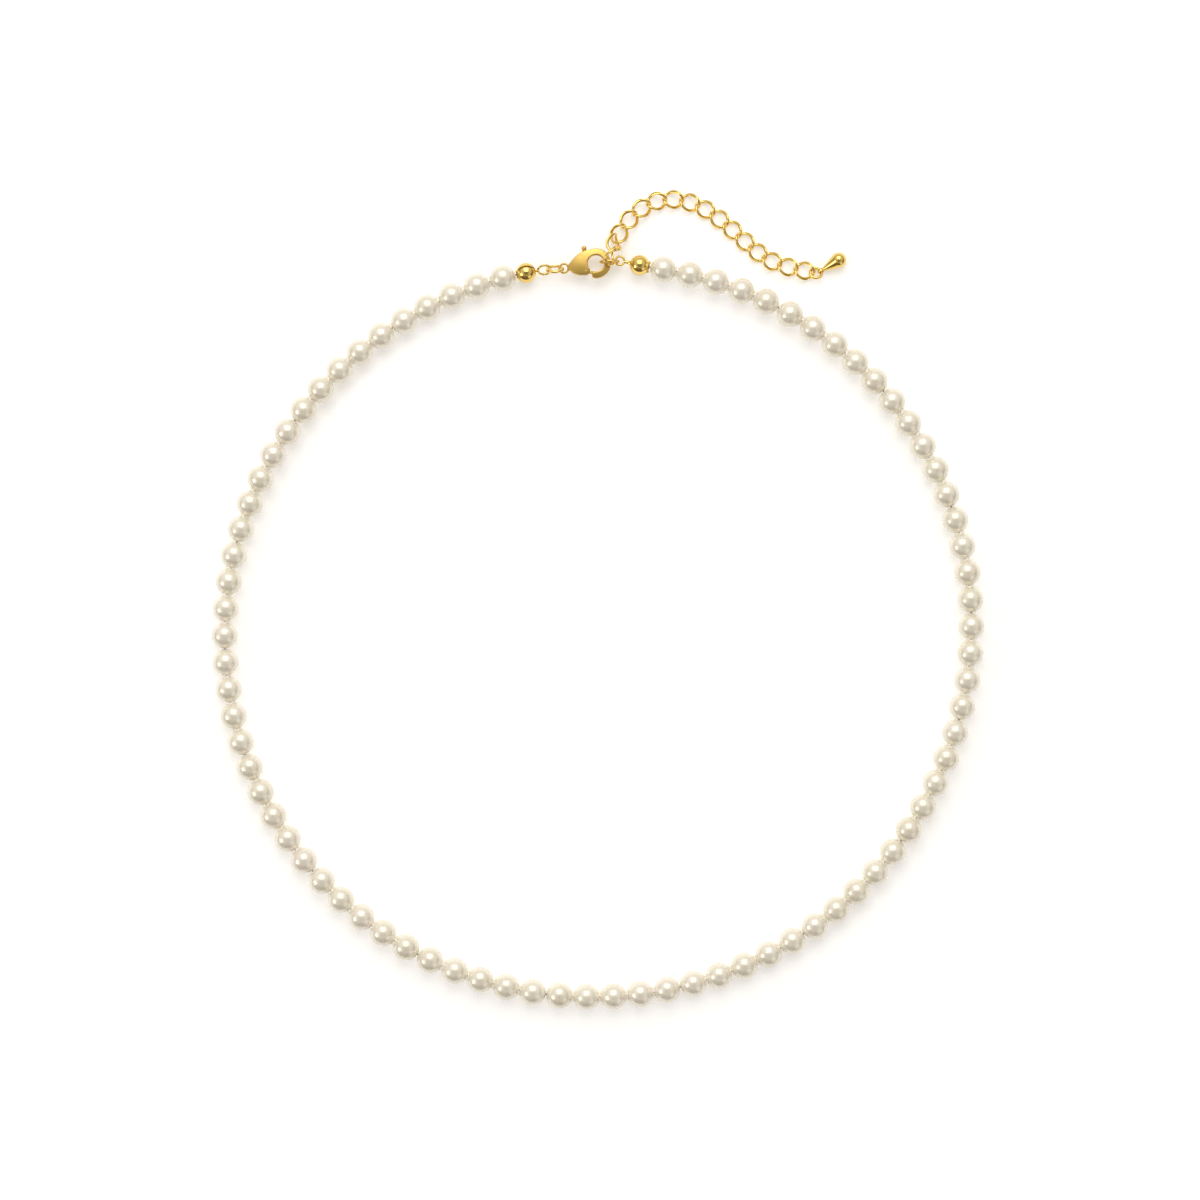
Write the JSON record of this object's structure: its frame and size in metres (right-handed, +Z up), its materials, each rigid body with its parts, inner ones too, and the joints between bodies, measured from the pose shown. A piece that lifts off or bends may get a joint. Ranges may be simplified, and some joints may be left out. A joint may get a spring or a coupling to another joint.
{
  "type": "pearl necklace",
  "caption": "Choker-length strand of small round pearls with a gold-coloured lobster clasp and a curb extension chain ending in a drop.",
  "frame": {"origin": "middle of the closed loop, on the surface that it lies on", "axes": "+Z up from the surface, +Y from the middle of the loop towards the clasp, +X to the side that the extension chain lies on"},
  "size_m": [0.1454, 0.1535, 0.0056],
  "materials": {
    "pearl": "pearlescent lacquer over a round bead",
    "thread": "twisted beading thread",
    "polished_gold": "polished gold-coloured plating",
    "satin_gold": "satin gold-coloured plating",
    "spring_steel": "drawn spring leaf"
  },
  "bodies": {
    "root": {"pearls_front": "pearl", "thread": "thread"},
    "right_1": {"pearls_right_1": "pearl"},
    "right_2": {"pearls_right_2": "pearl"},
    "right_3": {"pearls_right_3": "pearl"},
    "right_4": {"pearls_right_4": "pearl"},
    "right_5": {"pearls_right_5": "pearl"},
    "right_6": {"pearls_right_6": "pearl"},
    "right_7": {"pearls_right_7": "pearl"},
    "right_8": {"pearls_right_8": "pearl"},
    "right_tip": {"bead_tip_right": "polished_gold", "crimp_right": "polished_gold"},
    "left_1": {"pearls_left_1": "pearl"},
    "left_2": {"pearls_left_2": "pearl"},
    "left_3": {"pearls_left_3": "pearl"},
    "left_4": {"pearls_left_4": "pearl"},
    "left_5": {"pearls_left_5": "pearl"},
    "left_6": {"pearls_left_6": "pearl"},
    "left_7": {"pearls_left_7": "pearl"},
    "left_8": {"pearls_left_8": "pearl"},
    "left_tip": {"bead_tip_left": "polished_gold", "crimp_left": "polished_gold"},
    "left_ring": {"jump_ring_left": "polished_gold"},
    "right_ring": {"jump_ring_right": "polished_gold"},
    "clasp": {"clasp_body": "satin_gold", "clasp_pin": "satin_gold", "clasp_spring": "spring_steel"},
    "lever": {"clasp_lever": "satin_gold"},
    "link_1": {"chain_link_1": "polished_gold"},
    "link_2": {"chain_link_2": "polished_gold"},
    "link_3": {"chain_link_3": "polished_gold"},
    "link_4": {"chain_link_4": "polished_gold"},
    "link_5": {"chain_link_5": "polished_gold"},
    "link_6": {"chain_link_6": "polished_gold"},
    "link_7": {"chain_link_7": "polished_gold"},
    "link_8": {"chain_link_8": "polished_gold"},
    "link_9": {"chain_link_9": "polished_gold"},
    "link_10": {"chain_link_10": "polished_gold"},
    "link_11": {"chain_link_11": "polished_gold"},
    "link_12": {"chain_link_12": "polished_gold"},
    "link_13": {"chain_link_13": "polished_gold"},
    "link_14": {"chain_link_14": "polished_gold"},
    "link_15": {"chain_link_15": "polished_gold"},
    "link_16": {"chain_link_16": "polished_gold"},
    "drop_ring": {"drop_ring": "polished_gold"},
    "drop": {"drop": "polished_gold"}
  },
  "joints": [
    {"name": "strand_squeeze", "type": "hinge", "parent": "root", "child": "right_1", "pos_m": [0.01242, -0.06759, 0.0025], "axis": [0, 0, 1], "range_deg": [-7, 12], "deforming": ["thread"]},
    {"name": "right_bend_2", "type": "hinge", "parent": "right_1", "child": "right_2", "pos_m": [0.03605, -0.05864, 0.0025], "axis": [0, 0, 1], "range_deg": [-2.8, 4.8], "deforming": ["thread"]},
    {"name": "strand_skew", "type": "hinge", "parent": "right_2", "child": "right_3", "pos_m": [0.05511, -0.04205, 0.0025], "axis": [0, 0, 1], "range_deg": [-12, 12], "deforming": ["thread"]},
    {"name": "right_bend_4", "type": "hinge", "parent": "right_3", "child": "right_4", "pos_m": [0.06706, -0.01979, 0.0025], "axis": [0, 0, 1], "range_deg": [-10.8, 6.3], "deforming": ["thread"]},
    {"name": "right_bend_5", "type": "hinge", "parent": "right_4", "child": "right_5", "pos_m": [0.07026, 0.00021, 0.0025], "axis": [0, 0, 1], "range_deg": [-12, 7], "deforming": ["thread"]},
    {"name": "right_bend_6", "type": "hinge", "parent": "right_5", "child": "right_6", "pos_m": [0.0674, 0.02025, 0.0025], "axis": [0, 0, 1], "range_deg": [-10.8, 6.3], "deforming": ["thread"]},
    {"name": "right_bend_7", "type": "hinge", "parent": "right_6", "child": "right_7", "pos_m": [0.05569, 0.04263, 0.0025], "axis": [0, 0, 1], "range_deg": [-12, 12], "deforming": ["thread"]},
    {"name": "right_bend_8", "type": "hinge", "parent": "right_7", "child": "right_8", "pos_m": [0.0366, 0.05918, 0.0025], "axis": [0, 0, 1], "range_deg": [-2.8, 4.8], "deforming": ["thread"]},
    {"name": "right_tip_bend", "type": "hinge", "parent": "right_8", "child": "right_tip", "pos_m": [0.01286, 0.06781, 0.0025], "axis": [0, 0, 1], "range_deg": [-7, 12], "deforming": ["thread"]},
    {"name": "left_bend_1", "type": "hinge", "parent": "root", "child": "left_1", "pos_m": [-0.01286, -0.06781, 0.0025], "axis": [0, 0, 1], "range_deg": [-12, 7], "deforming": ["thread"]},
    {"name": "left_bend_2", "type": "hinge", "parent": "left_1", "child": "left_2", "pos_m": [-0.0366, -0.05918, 0.0025], "axis": [0, 0, 1], "range_deg": [-4.8, 2.8], "deforming": ["thread"]},
    {"name": "left_bend_3", "type": "hinge", "parent": "left_2", "child": "left_3", "pos_m": [-0.05569, -0.04263, 0.0025], "axis": [0, 0, 1], "range_deg": [-12, 12], "deforming": ["thread"]},
    {"name": "left_bend_4", "type": "hinge", "parent": "left_3", "child": "left_4", "pos_m": [-0.0674, -0.02025, 0.0025], "axis": [0, 0, 1], "range_deg": [-6.3, 10.8], "deforming": ["thread"]},
    {"name": "left_bend_5", "type": "hinge", "parent": "left_4", "child": "left_5", "pos_m": [-0.07026, -0.00021, 0.0025], "axis": [0, 0, 1], "range_deg": [-7, 12], "deforming": ["thread"]},
    {"name": "left_bend_6", "type": "hinge", "parent": "left_5", "child": "left_6", "pos_m": [-0.06706, 0.01979, 0.0025], "axis": [0, 0, 1], "range_deg": [-6.3, 10.8], "deforming": ["thread"]},
    {"name": "left_bend_7", "type": "hinge", "parent": "left_6", "child": "left_7", "pos_m": [-0.05511, 0.04205, 0.0025], "axis": [0, 0, 1], "range_deg": [-12, 12], "deforming": ["thread"]},
    {"name": "left_bend_8", "type": "hinge", "parent": "left_7", "child": "left_8", "pos_m": [-0.03605, 0.05864, 0.0025], "axis": [0, 0, 1], "range_deg": [-4.8, 2.8], "deforming": ["thread"]},
    {"name": "left_tip_bend", "type": "hinge", "parent": "left_8", "child": "left_tip", "pos_m": [-0.01242, 0.06759, 0.0025], "axis": [0, 0, 1], "range_deg": [-12, 7], "deforming": ["thread"]},
    {"name": "left_ring_spin", "type": "hinge", "parent": "left_tip", "child": "left_ring", "pos_m": [-0.005, 0.0683, 0.0025], "axis": [0, 0.8988, 0.4384], "continuous": true},
    {"name": "right_ring_spin", "type": "hinge", "parent": "right_tip", "child": "right_ring", "pos_m": [0.0053, 0.0692, 0.0025], "axis": [0, 1, 0], "continuous": true},
    {"name": "clasp_roll", "type": "hinge", "parent": "left_tip", "child": "clasp", "pos_m": [-0.00332, 0.06836, 0.0025], "axis": [0.9945, 0.1045, 0], "range_deg": [-8, 8]},
    {"name": "lever_open", "type": "hinge", "parent": "clasp", "child": "lever", "pos_m": [0.00084, 0.06756, 0.0025], "axis": [0, 0, 1], "range_deg": [0, 30], "stiffness_Nm_per_rad": 0.0002, "springref_deg": -17.19, "deforming": ["clasp_spring"]},
    {"name": "link_1_turn", "type": "hinge", "parent": "right_tip", "child": "link_1", "pos_m": [0.0059, 0.0692, 0.0036], "axis": [0, 0, 1], "range_deg": [-3, 6]},
    {"name": "link_2_turn", "type": "hinge", "parent": "link_1", "child": "link_2", "pos_m": [0.0061, 0.0716, 0.003], "axis": [0, 0, -1], "range_deg": [-6, 5]},
    {"name": "link_3_turn", "type": "hinge", "parent": "link_2", "child": "link_3", "pos_m": [0.0069, 0.0737, 0.0015], "axis": [0, 0, 1], "range_deg": [-5, 12]},
    {"name": "link_4_turn", "type": "hinge", "parent": "link_3", "child": "link_4", "pos_m": [0.00825, 0.07591, 0.00095], "axis": [0, 0, -1], "range_deg": [-25, 1]},
    {"name": "link_5_turn", "type": "hinge", "parent": "link_4", "child": "link_5", "pos_m": [0.01047, 0.07821, 0.00095], "axis": [0, 0, 1], "range_deg": [-5, 30]},
    {"name": "link_6_turn", "type": "hinge", "parent": "link_5", "child": "link_6", "pos_m": [0.01312, 0.08, 0.00095], "axis": [0, 0, -1], "range_deg": [-30, 5]},
    {"name": "link_7_turn", "type": "hinge", "parent": "link_6", "child": "link_7", "pos_m": [0.01625, 0.08066, 0.00095], "axis": [0, 0, 1], "range_deg": [-6, 30]},
    {"name": "link_8_turn", "type": "hinge", "parent": "link_7", "child": "link_8", "pos_m": [0.01944, 0.08038, 0.00095], "axis": [0, 0, -1], "range_deg": [-30, 7]},
    {"name": "link_9_turn", "type": "hinge", "parent": "link_8", "child": "link_9", "pos_m": [0.02245, 0.07929, 0.00095], "axis": [0, 0, 1], "range_deg": [-8, 30]},
    {"name": "link_10_turn", "type": "hinge", "parent": "link_9", "child": "link_10", "pos_m": [0.02513, 0.07755, 0.00095], "axis": [0, 0, -1], "range_deg": [-30, 12]},
    {"name": "link_11_turn", "type": "hinge", "parent": "link_10", "child": "link_11", "pos_m": [0.02755, 0.07545, 0.00095], "axis": [0, 0, 1], "range_deg": [-14, 30]},
    {"name": "link_12_turn", "type": "hinge", "parent": "link_11", "child": "link_12", "pos_m": [0.02985, 0.07322, 0.00095], "axis": [0, 0, -1], "range_deg": [-30, 16]},
    {"name": "link_13_turn", "type": "hinge", "parent": "link_12", "child": "link_13", "pos_m": [0.03207, 0.07092, 0.00095], "axis": [0, 0, 1], "range_deg": [-22, 25]},
    {"name": "link_14_turn", "type": "hinge", "parent": "link_13", "child": "link_14", "pos_m": [0.03449, 0.06882, 0.00095], "axis": [0, 0, -1], "range_deg": [-18, 25]},
    {"name": "link_15_turn", "type": "hinge", "parent": "link_14", "child": "link_15", "pos_m": [0.03731, 0.06732, 0.00095], "axis": [0, 0, 1], "range_deg": [-28, 20]},
    {"name": "link_16_turn", "type": "hinge", "parent": "link_15", "child": "link_16", "pos_m": [0.04037, 0.06639, 0.00095], "axis": [0, 0, -1], "range_deg": [-26, 28]},
    {"name": "drop_ring_turn", "type": "hinge", "parent": "link_16", "child": "drop_ring", "pos_m": [0.04362, 0.06557, 0.00105], "axis": [0, 0, 1], "range_deg": [-10, 20]},
    {"name": "drop_swing", "type": "hinge", "parent": "drop_ring", "child": "drop", "pos_m": [0.04406, 0.06547, 0.00105], "axis": [0.1022, 0.4101, 0.9063], "range_deg": [-35, 3]}
  ],
  "couplings": [
    {"joint": "right_bend_2", "follows": "strand_squeeze", "ratio": 0.4},
    {"joint": "right_bend_4", "follows": "strand_squeeze", "ratio": -0.9},
    {"joint": "right_bend_5", "follows": "strand_squeeze", "ratio": -1},
    {"joint": "right_bend_6", "follows": "strand_squeeze", "ratio": -0.9},
    {"joint": "right_bend_7", "follows": "strand_skew", "ratio": -1},
    {"joint": "right_bend_8", "follows": "strand_squeeze", "ratio": 0.4},
    {"joint": "right_tip_bend", "follows": "strand_squeeze", "ratio": 1},
    {"joint": "left_bend_1", "follows": "strand_squeeze", "ratio": -1},
    {"joint": "left_bend_2", "follows": "strand_squeeze", "ratio": -0.4},
    {"joint": "left_bend_3", "follows": "strand_skew", "ratio": 1},
    {"joint": "left_bend_4", "follows": "strand_squeeze", "ratio": 0.9},
    {"joint": "left_bend_5", "follows": "strand_squeeze", "ratio": 1},
    {"joint": "left_bend_6", "follows": "strand_squeeze", "ratio": 0.9},
    {"joint": "left_bend_7", "follows": "strand_skew", "ratio": -1},
    {"joint": "left_bend_8", "follows": "strand_squeeze", "ratio": -0.4},
    {"joint": "left_tip_bend", "follows": "strand_squeeze", "ratio": -1}
  ]
}
